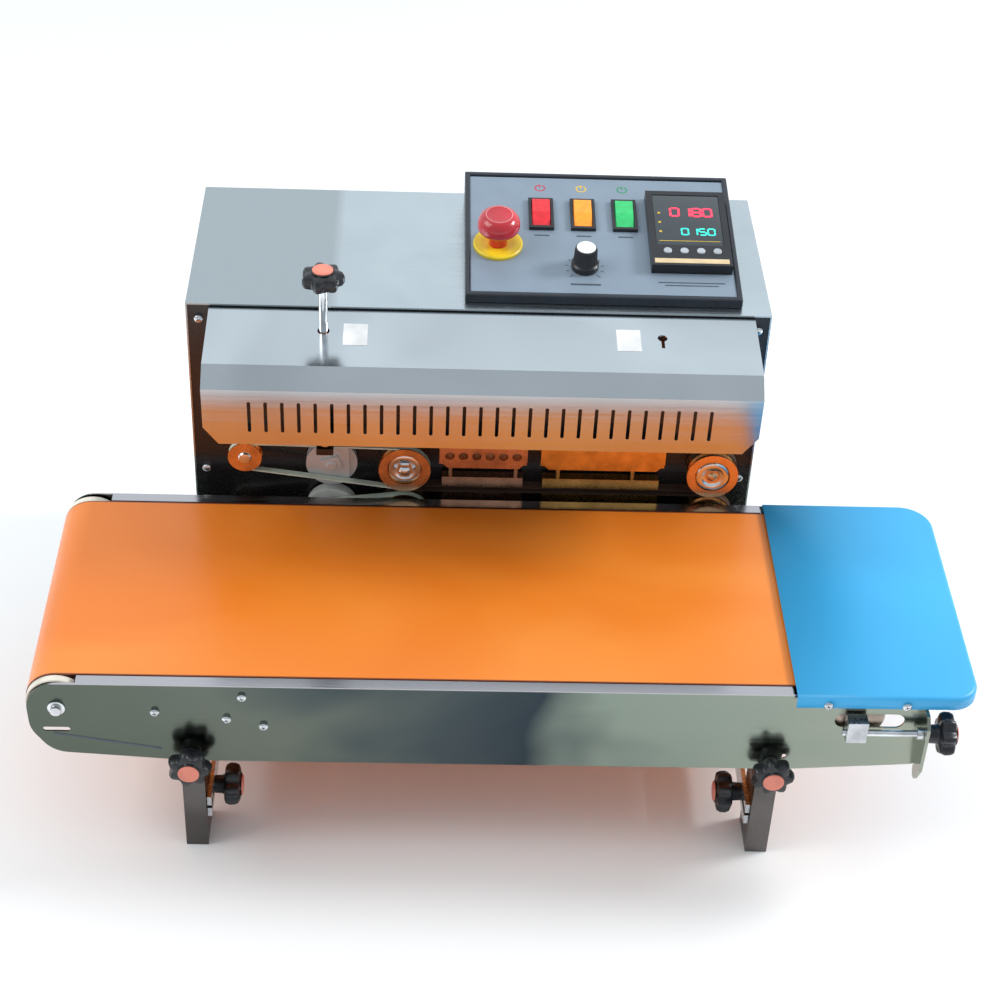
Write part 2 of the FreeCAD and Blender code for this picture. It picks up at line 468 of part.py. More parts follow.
# --- conveyor -------------------------------------------------------------------------
def conveyor():
    outline = [(CONV_LEFT, CONV_TOP, 29), (CONV_LEFT + 2, 146, 30),
               (CONV_LEFT + 20, PLATE_BOTTOM + 9, 26), (-232, PLATE_BOTTOM), (300, PLATE_BOTTOM),
               (CONV_RIGHT, PLATE_BOTTOM + 9, 8), (CONV_RIGHT, CONV_TOP - 12, 6), (404, CONV_TOP, 6)]
    take_up = slot_hole("xz", 368, TAKE_UP_Z, 31, TAKE_UP_HALF, -1, 3)
    cuts = [rod_y(AXLE_BORE_R, -1, 3, DRIVE_X, ROLLER_Z), take_up,
            slot_hole("xz", DRIVE_X - 2, 146, 12, 2.5, -1, 3), rod_y(2.6, -1, 3, 297, 126)]
    cuts += [rod_y(STUD_R + 0.05, -1, 3, x, CLAMP_Z) for x in LEG_XS]
    plate = slab("xz", outline, 0, SHEET).cut(cuts)
    plate = fuse(plate, box(FLANGE_LEFT, FLANGE_RIGHT, 0, FLANGE, CONV_TOP - SHEET, CONV_TOP))
    rear = plate.mirror(Vector(0, CONV_WIDTH / 2, 0), Y)
    lug = slab("yz", [(SHEET, 186, 0), (SHEET, 112, 0), (-6, 104, 5), (-19, 128, 8), (-19, 178, 8),
                      (-10, 186, 4)], 415, CONV_RIGHT)
    lug = lug.cut(rod_x(STUD_R + 0.05, 410, 425, ROD_Y, ROD_Z))
    node("conveyor_side_plates", fuse(plate, lug), rear)

    bed = box(-312, FLANGE_RIGHT + 1.5, SHEET, CONV_WIDTH - SHEET, CONV_TOP - 3.3, CONV_TOP - 1.8)
    ties = [rod_y(5, SHEET, CONV_WIDTH - SHEET, x, ROLLER_Z) for x in (-183, 60, 290)]
    node("slider_bed", bed, *ties)

    belt = belt_loop((DRIVE_X, ROLLER_Z), BELT_INNER_R, (TENSION_X, ROLLER_Z), BELT_INNER_R, BELT_THICK,
                     BELT_EDGE, CONV_WIDTH - BELT_EDGE)
    node("conveyor_belt", belt)
    for name, x, reach in (("drive_roller", DRIVE_X, -6), ("tension_roller", TENSION_X, -1)):
        tube = rod_y(ROLLER_R, 4, CONV_WIDTH - 4, x, ROLLER_Z)
        tube = tube.cut(rod_y(ROLLER_R - 3, 10, CONV_WIDTH - 10, x, ROLLER_Z))
        axle = rod_y(AXLE_R, reach, CONV_WIDTH - reach, x, ROLLER_Z)
        node(name, fuse(tube, axle))
    take_up_parts()
    tray()

    heads = [(-259, 169), (-197, 162), (-183, 188), (-165, 154)]
    screws = [rod_y(4, -2.4, 0, x, z) for x, z in heads]
    for x in LEG_XS:
        nut = box(x - 5, x + 5, SHEET + 0.3 + LEG_THICK + 0.6, 11, CLAMP_Z - 5, CLAMP_Z + 5)
        screws.append(nut.cut(rod_y(STUD_R + 0.05, 0, 15, x, CLAMP_Z)))
    for x in (327, 396):
        for low, high in ((TRAY_FRONT - 2, TRAY_FRONT), (TRAY_FRONT + SHEET, 0)):
            screws.append(rod_y(3.5, low, high, x, 196))
    node("conveyor_screws", *screws)


def take_up_parts():
    tongue_low, tongue_high = TAKE_UP_Z - TAKE_UP_HALF + 0.3, TAKE_UP_Z + TAKE_UP_HALF - 0.3
    corners = [(TENSION_X - 8, tongue_low), (TENSION_X + 8, tongue_low),
               (TENSION_X + 8, tongue_high), (TENSION_X - 8, tongue_high)]
    tongue = slab("xz", [(x, z, TONGUE_CORNER) for x, z in corners], -2.5, 3)
    block = fuse(tongue, box(TENSION_X - 9, TENSION_X + 9, -15, -2, ROLLER_Z - 14, ROLLER_Z + 9))
    rear = block.mirror(Vector(0, CONV_WIDTH / 2, 0), Y)
    thread = rod_x(STUD_R + 0.05, 330, 400, ROD_Y, ROD_Z)
    front_bore = rod_y(AXLE_BORE_R, -1.6, 4, TENSION_X, ROLLER_Z)
    rear_bore = rod_y(AXLE_BORE_R, CONV_WIDTH - 4, CONV_WIDTH + 20, TENSION_X, ROLLER_Z)
    node("take_up_blocks", block.cut([front_bore, thread]), rear.cut(rear_bore))
    knob_x = CONV_RIGHT + 0.5
    node("tension_rod", fuse(rod_x(STUD_R, 343, knob_x, ROD_Y, ROD_Z),
                             rod_x(5.5, 409, 414.7, ROD_Y, ROD_Z)))
    node("tension_knob", star_knob(Vector(knob_x, ROD_Y, ROD_Z), X, 0, KNOB_NECK))


def tray():
    def outline(inset, left):
        right, front, back = TRAY_RIGHT - inset, TRAY_FRONT + inset, TRAY_BACK - inset
        return [(left, front), (right, front, 24 - inset), (right, back, 30 - inset), (left, back)]

    skin = slab("xy", outline(0, TRAY_LEFT), TRAY_TOP - TRAY_SKIRT, TRAY_TOP)
    hollow = slab("xy", outline(SHEET, TRAY_LEFT - 1), TRAY_TOP - TRAY_SKIRT - 1, TRAY_TOP - SHEET)
    node("infeed_tray", skin.cut(hollow))


def legs():
    y0 = SHEET + 0.3
    solids = []
    for left, center, inner in zip(LEG_LEFTS, LEG_XS,
                                   (LEG_LEFTS[0] + LEG_WIDTH - LEG_THICK, LEG_LEFTS[1])):
        front = box(left, left + LEG_WIDTH, y0, y0 + LEG_THICK, 0, 142)
        side = box(inner, inner + LEG_THICK, y0, y0 + LEG_DEPTH, 0, 84)
        lift = slot_hole("xz", center, CLAMP_Z - (LIFT_DOWN - LIFT_UP) / 2, STUD_R + 0.3,
                         (LIFT_DOWN + LIFT_UP) / 2 + STUD_R + 1.5, 0, 10)
        stud = rod_x(STUD_R + 0.05, inner - 1, inner + 4, REACH_Y, REACH_Z)
        solids.append(fuse(front, side).cut([lift, stud]))
    node("support_legs", *solids)

    rails = []
    for left in rail_lefts():
        rail = box(left, left + RAIL_THICK, 6, 500, RAIL_LOW, RAIL_HIGH)
        slot = slot_hole("yz", REACH_Y - REACH_TRAVEL / 2, REACH_Z, REACH_TRAVEL / 2 + STUD_R + 1.5,
                         STUD_R + 0.3, left - 1, left + RAIL_THICK + 1)
        rails.append(rail.cut(slot))
    node("base_rails", *rails)

    for side, x in zip(("left", "right"), LEG_XS):
        node(f"{side}_height_knob", star_knob(Vector(x, -0.5, CLAMP_Z), -Y, 14.5, KNOB_NECK))
    left, right = rail_lefts()
    node("left_reach_knob", star_knob(Vector(left + RAIL_THICK + 0.5, REACH_Y, REACH_Z), X, 8.5, KNOB_NECK))
    node("right_reach_knob", star_knob(Vector(right - 0.5, REACH_Y, REACH_Z), -X, 8.5, KNOB_NECK))


main_body()
slotted_guard()
control_panel()
sealing_head()
drive_and_fan()
pressure_knob()
conveyor()
legs()

os.makedirs("parts", exist_ok=True)
for name, solids in NODES.items():
    shape = solids[0] if len(solids) == 1 else Part.makeCompound(solids)
    shape = shape.copy()
    shape.translate(-MACHINE_CENTRE)
    shape.exportStep(f"parts/{name}.step")
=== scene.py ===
import json
import math

import bmesh
import bpy
from mathutils import Matrix, Vector


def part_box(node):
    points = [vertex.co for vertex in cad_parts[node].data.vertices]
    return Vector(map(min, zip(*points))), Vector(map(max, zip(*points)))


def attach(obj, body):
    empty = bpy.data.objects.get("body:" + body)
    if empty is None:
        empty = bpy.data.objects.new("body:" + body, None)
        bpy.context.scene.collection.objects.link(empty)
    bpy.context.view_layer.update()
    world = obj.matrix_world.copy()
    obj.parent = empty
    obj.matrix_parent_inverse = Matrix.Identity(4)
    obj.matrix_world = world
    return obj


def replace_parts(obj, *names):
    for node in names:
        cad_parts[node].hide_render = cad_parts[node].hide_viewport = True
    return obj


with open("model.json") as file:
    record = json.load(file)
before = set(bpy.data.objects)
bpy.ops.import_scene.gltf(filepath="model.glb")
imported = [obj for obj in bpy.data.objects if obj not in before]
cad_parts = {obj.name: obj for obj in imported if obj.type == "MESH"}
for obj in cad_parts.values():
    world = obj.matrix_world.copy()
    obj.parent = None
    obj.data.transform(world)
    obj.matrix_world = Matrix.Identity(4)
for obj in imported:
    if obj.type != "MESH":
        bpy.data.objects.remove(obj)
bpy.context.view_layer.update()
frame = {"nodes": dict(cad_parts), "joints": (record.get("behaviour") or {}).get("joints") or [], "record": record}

MM = 0.001
X, Y, Z = Vector((1, 0, 0)), Vector((0, 1, 0)), Vector((0, 0, 1))


# --- places read from the frame ---------------------------------------------------
def low(node):
    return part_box(node)[0]


def high(node):
    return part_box(node)[1]


def middle(node):
    return (low(node) + high(node)) / 2


def joint(name):
    return next(j for j in frame["joints"] if j["name"] == name)


def joint_point(name):
    return Vector(joint(name)["pos_m"])


PANEL_NORMAL = Vector(joint("speed_knob_turn")["axis"]).normalized()
PANEL_UP = PANEL_NORMAL.cross(X).normalized()


# --- material nodes -----------------------------------------------------------------
class Maker:
    """Builds one node material: a Principled shader fed by object-space patterns."""

    def __init__(self, name, color, metallic=0.0, roughness=0.5, **sockets):
        self.mat = bpy.data.materials.new(name)
        self.mat.use_nodes = True
        self.mat.diffuse_color = (*color, 1)
        self.tree = self.mat.node_tree
        self.shader = self.tree.nodes["Principled BSDF"]
        self.set("Base Color", (*color, 1))
        self.set("Metallic", metallic)
        self.set("Roughness", roughness)
        for socket, value in sockets.items():
            self.set(socket.replace("_", " "), value)
        self.color = color
        self.coords = self.tree.nodes.new("ShaderNodeTexCoord")

    def set(self, socket, value):
        self.shader.inputs[socket].default_value = value

    def link(self, source, target):
        self.tree.links.new(source, target)

    def noise(self, scale, stretch=(1, 1, 1), detail=3.0, rough=0.5, distortion=0.0):
        mapping = self.tree.nodes.new("ShaderNodeMapping")
        mapping.inputs["Scale"].default_value = stretch
        noise = self.tree.nodes.new("ShaderNodeTexNoise")
        noise.inputs["Scale"].default_value = scale
        noise.inputs["Detail"].default_value = detail
        noise.inputs["Roughness"].default_value = rough
        noise.inputs["Distortion"].default_value = distortion
        self.link(self.coords.outputs["Object"], mapping.inputs["Vector"])
        self.link(mapping.outputs["Vector"], noise.inputs["Vector"])
        return noise.outputs["Fac"]

    def ramp(self, source, *stops):
        ramp = self.tree.nodes.new("ShaderNodeValToRGB")
        elements = ramp.color_ramp.elements
        while len(elements) < len(stops):
            elements.new(0.5)
        for element, (place, color) in zip(elements, stops):
            element.position = place
            element.color = (*color, 1)
        self.link(source, ramp.inputs["Fac"])
        return ramp.outputs["Color"]

    def map_range(self, source, low_out, high_out, low_in=0.3, high_in=0.7):
        node = self.tree.nodes.new("ShaderNodeMapRange")
        for socket, value in (("From Min", low_in), ("From Max", high_in),
                              ("To Min", low_out), ("To Max", high_out)):
            node.inputs[socket].default_value = value
        self.link(source, node.inputs["Value"])
        return node.outputs["Result"]

    def distance_along(self, letter, start):
        """How far a point lies from start along one axis, in metres, either way."""
        split = self.tree.nodes.new("ShaderNodeSeparateXYZ")
        self.link(self.coords.outputs["Object"], split.inputs["Vector"])
        gap = self.tree.nodes.new("ShaderNodeMath")
        gap.operation = "SUBTRACT"
        gap.inputs[1].default_value = start
        self.link(split.outputs[letter], gap.inputs[0])
        size = self.tree.nodes.new("ShaderNodeMath")
        size.operation = "ABSOLUTE"
        self.link(gap.outputs["Value"], size.inputs[0])
        return size.outputs["Value"]

    def mix(self, factor, source, color):
        node = self.tree.nodes.new("ShaderNodeMix")
        node.data_type = "RGBA"
        self.link(factor, node.inputs["Factor"])
        self.link(source, node.inputs[6])
        node.inputs[7].default_value = (*color, 1)
        return node.outputs[2]

    def vary_color(self, source, low_factor, high_factor, low_in=0.35, high_in=0.65):
        shades = [tuple(min(1.0, c * f) for c in self.color) for f in (low_factor, high_factor)]
        self.link(self.ramp(source, (low_in, shades[0]), (high_in, shades[1])),
                  self.shader.inputs["Base Color"])
        return self

    def vary_roughness(self, source, low_out, high_out):
        self.link(self.map_range(source, low_out, high_out), self.shader.inputs["Roughness"])
        return self

    def bump(self, source, height_mm, strength=1.0):
        node = self.tree.nodes.new("ShaderNodeBump")
        node.inputs["Strength"].default_value = strength
        node.inputs["Distance"].default_value = height_mm * MM
        self.link(source, node.inputs["Height"])
        self.link(node.outputs["Normal"], self.shader.inputs["Normal"])
        return self


def brushed(name, color, roughness, stretch, cloud=8.0, low_factor=0.72, high_factor=1.08):
    """Brushed sheet: long fine scratches over slow cloudy patches."""
    m = Maker(name, color, 1.0, roughness)
    m.vary_color(m.noise(cloud, (1, 1, 1), 2.0, 0.45, 0.6), low_factor, high_factor)
    lines = m.noise(55.0, stretch, 4.0, 0.65)
    m.vary_roughness(lines, roughness * 0.75, roughness * 1.35)
    return m.bump(lines, 0.012, 0.35).mat


def machined(name, color, roughness=0.25):
    m = Maker(name, color, 1.0, roughness)
    m.vary_color(m.noise(60.0, (1, 1, 1), 3.0), 0.75, 1.1)
    fine = m.noise(900.0, (1, 0.2, 1), 2.0)
    m.vary_roughness(fine, roughness * 0.7, roughness * 1.5)
    return m.bump(fine, 0.01, 0.3).mat


def plastic(name, color, roughness=0.4, grain=900.0, height_mm=0.02, tone=0.15, **sockets):
    m = Maker(name, color, 0.0, roughness, **sockets)
    m.vary_color(m.noise(40.0, (1, 1, 1), 2.0), 1 - tone, 1 + tone)
    skin = m.noise(grain, (1, 1, 1), 2.0)
    m.vary_roughness(skin, roughness * 0.85, roughness * 1.2)
    return m.bump(skin, height_mm, 0.4).mat


def belt_material():
    """Smooth orange belt: slow tone patches, a fine cloth grain and brown, worn edges."""
    m = Maker("orange_belt", (0.80, 0.21, 0.02), 0.0, 0.36, Coat_Weight=0.12, Coat_Roughness=0.3)
    patches = m.ramp(m.noise(3.2, (1, 1.6, 1), 2.0, 0.4, 0.8), (0.36, (0.83, 0.205, 0.016)),
                     (0.52, (0.87, 0.235, 0.024)), (0.66, (0.90, 0.27, 0.036)))
    belt_middle = middle("conveyor_belt").y
    half = (high("conveyor_belt").y - low("conveyor_belt").y) / 2
    wear = m.map_range(m.distance_along("Y", belt_middle), 0.0, 1.0, half - 1.8 * MM, half - 0.8 * MM)
    m.link(m.mix(wear, patches, (0.23, 0.05, 0.012)), m.shader.inputs["Base Color"])
    cloth = m.noise(700.0, (1, 1, 1), 2.0)
    m.vary_roughness(m.noise(14.0, (1, 1, 1), 3.0), 0.28, 0.44)
    return m.bump(cloth, 0.02, 0.3).mat


def housing_material():
    """Brushed housing sheet, a little darker and cloudier over its left third."""
    m = Maker("housing_stainless", (0.56, 0.615, 0.65), 1.0, 0.27)
    clouds = m.ramp(m.noise(7.0, (1, 1, 1), 3.0, 0.5, 0.7), (0.3, (0.52, 0.58, 0.615)),
                    (0.7, (0.61, 0.67, 0.705)))
    left = low("housing_cover").x
    seam = left + 0.25 * (high("housing_cover").x - left)
    shade = m.map_range(m.distance_along("X", left), 1.0, 0.0, seam - left - 5 * MM, seam - left + 5 * MM)
    m.link(m.mix(shade, clouds, (0.43, 0.475, 0.50)), m.shader.inputs["Base Color"])
    lines = m.noise(55.0, (0.15, 6, 6), 4.0, 0.65)
    m.vary_roughness(lines, 0.2, 0.36)
    return m.bump(lines, 0.008, 0.2).mat


def conveyor_material():
    """Polished sheet painted dark grey-green, with broad bands of painted reflection along its length and a
    lighter painted highlight along its top edge.
    """
    m = Maker("conveyor_stainless", (0.15, 0.175, 0.165), 1.0, 0.16)
    left, right = low("conveyor_side_plates").x, high("conveyor_side_plates").x
    along = m.map_range(m.distance_along("X", left), 0.0, 1.0, 0.0, right - left)
    wander = m.tree.nodes.new("ShaderNodeMath")
    wander.operation = "ADD"
    m.link(along, wander.inputs[0])
    m.link(m.map_range(m.noise(4.0, (1, 0.1, 1.6), 3.0, 0.5, 0.4), -0.11, 0.11), wander.inputs[1])
    # Painted reflection: the dark and light bands along the polished plate stand in for its reflections of the
    # surroundings.
    painted_reflection_color = m.ramp(wander.outputs["Value"], (0.0, (0.105, 0.125, 0.10)),
                         (0.26, (0.14, 0.16, 0.135)), (0.42, (0.062, 0.08, 0.088)),
                         (0.56, (0.036, 0.05, 0.062)), (0.68, (0.24, 0.29, 0.245)),
                         (0.95, (0.31, 0.335, 0.28)))
    # Painted highlight: a lighter grey band along the plate's top edge.
    top_edge_highlight = m.map_range(m.distance_along("Z", high("conveyor_side_plates").z), 1.0, 0.0, 0.4 * MM, 1.4 * MM)
    m.link(m.mix(top_edge_highlight, painted_reflection_color, (0.52, 0.50, 0.52)), m.shader.inputs["Base Color"])
    lines = m.noise(60.0, (0.12, 6, 6), 4.0, 0.65)
    m.vary_roughness(lines, 0.12, 0.27)
    return m.bump(lines, 0.01, 0.3).mat


def tray_material():
    m = Maker("blue_film", (0.045, 0.42, 0.80), 0.0, 0.42, Coat_Weight=0.08, Coat_Roughness=0.2)
    m.vary_color(m.noise(5.0, (1, 1, 1), 2.0, 0.4, 0.5), 0.93, 1.05)
    film = m.noise(90.0, (1, 0.25, 1), 3.0)
    return m.bump(film, 0.03, 0.25).mat


def glow(name, color, strength, roughness=0.25):
    m = Maker(name, color, 0.0, roughness, Emission_Color=(*color, 1), Emission_Strength=strength,
              Coat_Weight=0.4)
    return m.vary_color(m.noise(150.0), 0.85, 1.15).mat


MATERIALS = {
    "stainless": brushed("stainless", (0.54, 0.565, 0.59), 0.26, (0.15, 6, 6), 8.0, 0.88, 1.05),
    "black_plate": plastic("black_plate", (0.012, 0.011, 0.012), 0.28, 300.0, 0.02, Coat_Weight=0.2),
    "galvanised": brushed("galvanised", (0.5, 0.51, 0.52), 0.42, (1, 1, 1), 30.0),
    "black_plastic": plastic("black_plastic", (0.012, 0.013, 0.017), 0.3),
    "rubber_black": plastic("rubber_black", (0.02, 0.02, 0.02), 0.75, 500.0, 0.05),
    "orange_belt": belt_material(),
    "blue_sheet": tray_material(),
    "brass": machined("brass", (0.80, 0.50, 0.27), 0.22),
    "chrome": machined("chrome", (0.80, 0.82, 0.85), 0.1),
    "steel": machined("steel", (0.56, 0.57, 0.6), 0.3),
    "aluminium": machined("aluminium", (0.62, 0.50, 0.42), 0.35),
    "panel_grey": plastic("panel_grey", (0.235, 0.30, 0.375), 0.42, 400.0, 0.01, 0.03),
    "estop_red": plastic("estop_red", (0.58, 0.016, 0.03), 0.22, 200.0, 0.01, Coat_Weight=0.5),
    "estop_yellow": plastic("estop_yellow", (0.83, 0.60, 0.02), 0.35, 300.0, 0.01),
    "switch_red": glow("switch_red", (0.62, 0.01, 0.02), 0.35),
    "switch_amber": glow("switch_amber", (0.85, 0.27, 0.015), 0.5),
    "switch_green": glow("switch_green", (0.02, 0.42, 0.12), 0.5),
    "key_grey": plastic("key_grey", (0.42, 0.45, 0.49), 0.4),
    "white_rubber": plastic("white_rubber", (0.7, 0.7, 0.66), 0.5),
    "band_brown": plastic("band_brown", (0.085, 0.05, 0.035), 0.35, 1200.0, 0.03),
    "strap_green": plastic("strap_green", (0.60, 0.68, 0.58), 0.5),
}
SALMON = plastic("cap_salmon", (0.80, 0.24, 0.165), 0.4)
CREAM = plastic("cream_nylon", (0.78, 0.72, 0.62), 0.4)
WHITE = plastic("white_print", (0.85, 0.86, 0.86), 0.35)
# Pale red for the painted highlight ring on the emergency stop.
RING_HIGHLIGHT = plastic("painted_ring_highlight", (0.80, 0.24, 0.26), 0.3)
# Beige colour for the painted reflection on the controller's lower lip.
LIP_REFLECTION = plastic("painted_lip_reflection", (0.72, 0.55, 0.33), 0.4)
# Dark print colour, also used for painted shade in screw recesses and in the conveyor's pressed groove.
DARK_PRINT_AND_SHADE = plastic("dark_print_and_shade", (0.07, 0.09, 0.12), 0.4)
GLASS_BLACK = plastic("display_face", (0.018, 0.028, 0.036), 0.12, 100.0, 0.005, Coat_Weight=0.6)
RED_LED = glow("red_digits", (0.85, 0.02, 0.06), 2.2)
GREEN_LED = glow("green_digits", (0.02, 0.55, 0.42), 1.6)
RED_PRINT = plastic("red_print", (0.55, 0.03, 0.07), 0.4)
AMBER_PRINT = plastic("amber_print", (0.75, 0.48, 0.03), 0.4)
GREEN_PRINT = plastic("green_print", (0.02, 0.33, 0.12), 0.4)
GOLD = machined("heater_gold", (0.78, 0.47, 0.14), 0.3)
COPPER = machined("cooling_copper", (0.70, 0.40, 0.25), 0.3)
DISC = plastic("wheel_disc", (0.58, 0.60, 0.61), 0.34, 500.0, 0.01, 0.1, Metallic=0.35)
NAVY = plastic("panel_box_black", (0.011, 0.016, 0.027), 0.3, 300.0, 0.02, Coat_Weight=0.2)
LEG = brushed("leg_sheet", (0.14, 0.13, 0.127), 0.34, (6, 6, 0.3), 14.0, 0.75, 1.15)
GUARD = brushed("guard_stainless", (0.57, 0.615, 0.65), 0.16, (0.15, 6, 6), 6.0, 0.86, 1.06)


# --- mesh helpers -----------------------------------------------------------------------
def finish_mesh(name, bm, material, body, smooth_angle=35):
    """Turn a bmesh into an object that rides on a body."""
    bmesh.ops.recalc_face_normals(bm, faces=bm.faces)
    mesh = bpy.data.meshes.new(name)
    bm.to_mesh(mesh)
    bm.free()
    mesh.materials.append(material)
    obj = bpy.data.objects.new(name, mesh)
    bpy.context.scene.collection.objects.link(obj)
    mesh.shade_smooth()
    mesh.set_sharp_from_angle(angle=math.radians(smooth_angle))
    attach(obj, body)
    return obj


def basis(origin, axis, up=None):
    """A matrix whose +Z runs along axis and whose +Y is near up."""
    z = axis.normalized()
    hint = up if up is not None else (Z if abs(z.dot(Z)) < 0.9 else Y)
    x = hint.cross(z).normalized()
    y = z.cross(x)
    matrix = Matrix((x, y, z)).transposed().to_4x4()
    matrix.translation = origin
    return matrix


def lathe(bm, profile, place, segments=64, modulate=None, closed=False):
    """Spin (radius mm, height mm) points about place's +Z; modulate(angle, radius, height) may bend it.

    The ends are capped, or joined to each other if closed.
    """
    rings = []
    for radius, height in profile:
        ring = []
        for i in range(segments):
            angle = 2 * math.pi * i / segments
            r = modulate(angle, radius, height) if modulate else radius
            ring.append(bm.verts.new(place @ Vector((r * MM * math.cos(angle), r * MM * math.sin(angle),
                                                     height * MM))))
        rings.append(ring)
    for a, b in zip(rings, rings[1:] + (rings[:1] if closed else [])):
        for i in range(segments):
            j = (i + 1) % segments
            bm.faces.new((a[i], a[j], b[j], b[i]))
    if not closed:
        bm.faces.new(rings[0][::-1])
        bm.faces.new(rings[-1])


def slab(bm, place, x0, x1, y0, y1, z0, z1, bevel=0.0):
    """A box in mm in place's axes, with bevelled edges."""
    corners = [bm.verts.new(place @ Vector((x * MM, y * MM, z * MM)))
               for x in (x0, x1) for y in (y0, y1) for z in (z0, z1)]
    quads = ((0, 1, 3, 2), (4, 6, 7, 5), (0, 4, 5, 1), (2, 3, 7, 6), (0, 2, 6, 4), (1, 5, 7, 3))
    faces = [bm.faces.new([corners[i] for i in quad]) for quad in quads]
    if bevel:
        edges = list({e for f in faces for e in f.edges})
        bmesh.ops.bevel(bm, geom=edges, offset=bevel * MM, segments=2, profile=0.7, affect="EDGES")


def soften(node, width_mm, segments=2):
    """Round a CAD node's sharp edges with modifiers only."""
    obj = frame["nodes"][node]
    weld = obj.modifiers.new("weld", "WELD")
    weld.merge_threshold = 0.00001
    flat = obj.modifiers.new("flat", "DECIMATE")
    flat.decimate_type = "DISSOLVE"
    flat.angle_limit = math.radians(0.5)
    bevel = obj.modifiers.new("bevel", "BEVEL")
    bevel.width = width_mm * MM
    bevel.segments = segments
    bevel.limit_method = "ANGLE"
    bevel.angle_limit = math.radians(40)
    bevel.harden_normals = True
    normals = obj.modifiers.new("normals", "WEIGHTED_NORMAL")
    normals.keep_sharp = True
    normals.weight = 100


# --- camera, light and floor --------------------------------------------------------------
CAMERA_PLACE = Vector((-0.0774, -1.6079, 1.4727))
CAMERA_PITCH, CAMERA_YAW, CAMERA_ROLL = 37.9, 2.75, 2.8     # degrees
CAMERA_FOCAL = 2.144                                        # focal length over sensor width
FLOOR_HALF = 6.0


def camera_and_light():
    camera = bpy.data.cameras.new("camera")
    camera.lens = CAMERA_FOCAL * camera.sensor_width
    obj = bpy.data.objects.new("camera", camera)
    bpy.context.scene.collection.objects.link(obj)
    pitch, yaw, roll = (math.radians(a) for a in (CAMERA_PITCH, CAMERA_YAW, CAMERA_ROLL))
    ahead = Vector((math.sin(yaw) * math.cos(pitch), math.cos(yaw) * math.cos(pitch), -math.sin(pitch)))
    right = Vector((math.cos(yaw), -math.sin(yaw), 0))
    up = right.cross(ahead)
    tilted_right = right * math.cos(roll) + up * math.sin(roll)
    tilted_up = up * math.cos(roll) - right * math.sin(roll)
    matrix = Matrix((tilted_right, tilted_up, -ahead)).transposed().to_4x4()
    matrix.translation = CAMERA_PLACE
    obj.matrix_world = matrix
    camera.clip_start = 0.05
    bpy.context.scene.camera = obj

    world = bpy.data.worlds.new("studio")
    world.use_nodes = True
    tree = world.node_tree
    background = tree.nodes["Background"]
    background.inputs["Color"].default_value = (0.86, 0.93, 0.98, 1)
    coords = tree.nodes.new("ShaderNodeTexCoord")
    split = tree.nodes.new("ShaderNodeSeparateXYZ")
    strength = tree.nodes.new("ShaderNodeMapRange")
    for socket, value in (("From Min", -0.6), ("From Max", 0.5), ("To Min", 0.58), ("To Max", 1.08)):
        strength.inputs[socket].default_value = value
    tree.links.new(coords.outputs["Generated"], split.inputs["Vector"])
    tree.links.new(split.outputs["Y"], strength.inputs["Value"])
    tree.links.new(strength.outputs["Result"], background.inputs["Strength"])
    bpy.context.scene.world = world
    bpy.context.scene.view_settings.view_transform = "Standard"
    for name, place, size, power, color in (
            ("fill", (-2.0, -0.3, 2.0), 1.6, 28, (1.0, 0.98, 0.95)),
            ("key", (2.0, 0.3, 1.6), 0.6, 34, (1.0, 0.99, 0.97))):
        light = bpy.data.lights.new(name, "AREA")
        light.size = size
        light.energy = power
        light.color = color
        lamp = bpy.data.objects.new(name, light)
        bpy.context.scene.collection.objects.link(lamp)
        lamp.location = place
        lamp.rotation_euler = (Vector((0, 0, 0.2)) - Vector(place)).to_track_quat("-Z", "Y").to_euler()

    bm = bmesh.new()
    bmesh.ops.create_grid(bm, x_segments=8, y_segments=8, size=FLOOR_HALF)
    mesh = bpy.data.meshes.new("floor")
    bm.to_mesh(mesh)
    bm.free()
    floor = bpy.data.objects.new("floor", mesh)
    floor.location = (0, 0, -0.0005)
    m = Maker("floor_paper", (0.95, 0.95, 0.95), 0.0, 0.8)
    mesh.materials.append(m.vary_color(m.noise(2.0), 0.99, 1.0).mat)
    bpy.context.scene.collection.objects.link(floor)


# --- hand knobs -----------------------------------------------------------------------------
KNOB_JOINTS = {
    "left_height_knob": "left_height_clamp_turn", "right_height_knob": "right_height_clamp_turn",
    "left_reach_knob": "left_reach_clamp_turn", "right_reach_knob": "right_reach_clamp_turn",
    "tension_knob": "tension_knob_turn", "pressure_knob": "pressure_knob_turn",
}
KNOB_LOBES = 7
HEIGHT_STUD_MM, REACH_STUD_MM = 14.5, 8.5      # how far each stud stands out behind its grip


